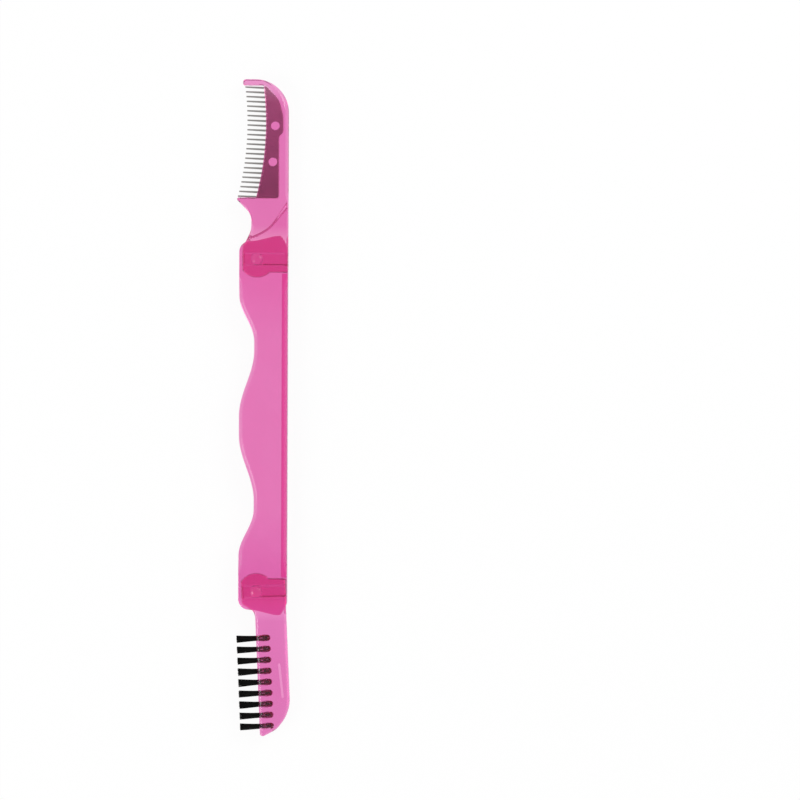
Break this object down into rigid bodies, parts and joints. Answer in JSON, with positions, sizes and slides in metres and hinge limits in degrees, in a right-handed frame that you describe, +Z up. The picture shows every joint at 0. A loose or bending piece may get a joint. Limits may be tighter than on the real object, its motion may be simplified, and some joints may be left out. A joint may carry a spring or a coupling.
{
  "type": "folding lash comb",
  "caption": "Pocket-knife style lash comb: a channel handle with finger dips, a metal-toothed comb arm at one end and a bristle brush arm at the other, both folding into it.",
  "frame": {"origin": "middle of the handle's lower plate, on the flat face that the tool lies on", "axes": "+Y along the handle towards the comb arm, +X across the handle towards its closed back, +Z up out of the face it lies on"},
  "size_m": [0.013, 0.1577, 0.006],
  "materials": {
    "plastic": "clear pink, polished",
    "comb_plate": "satin stainless steel",
    "bristle": "black nylon bristle",
    "staple": "plain brass strip"
  },
  "bodies": {
    "handle": {"handle": "plastic"},
    "comb": {"comb_arm": "plastic", "comb_blade": "comb_plate"},
    "brush": {"brush_arm": "plastic", "bristle_tuft_1": "bristle", "bristle_tuft_2": "bristle", "bristle_tuft_3": "bristle", "bristle_tuft_4": "bristle", "bristle_tuft_5": "bristle", "bristle_tuft_6": "bristle", "bristle_tuft_7": "bristle", "bristle_tuft_8": "bristle", "bristle_tuft_9": "bristle", "tuft_staple_1": "staple", "tuft_staple_2": "staple", "tuft_staple_3": "staple", "tuft_staple_4": "staple", "tuft_staple_5": "staple", "tuft_staple_6": "staple", "tuft_staple_7": "staple", "tuft_staple_8": "staple", "tuft_staple_9": "staple"}
  },
  "joints": [
    {"name": "comb_fold", "type": "hinge", "parent": "handle", "child": "comb", "pos_m": [-0.0016, 0.03983, 0.003], "axis": [0, 0, 1], "range_deg": [0, 180]},
    {"name": "brush_fold", "type": "hinge", "parent": "handle", "child": "brush", "pos_m": [-0.0016, -0.03983, 0.003], "axis": [0, 0, -1], "range_deg": [0, 182.5]}
  ]
}
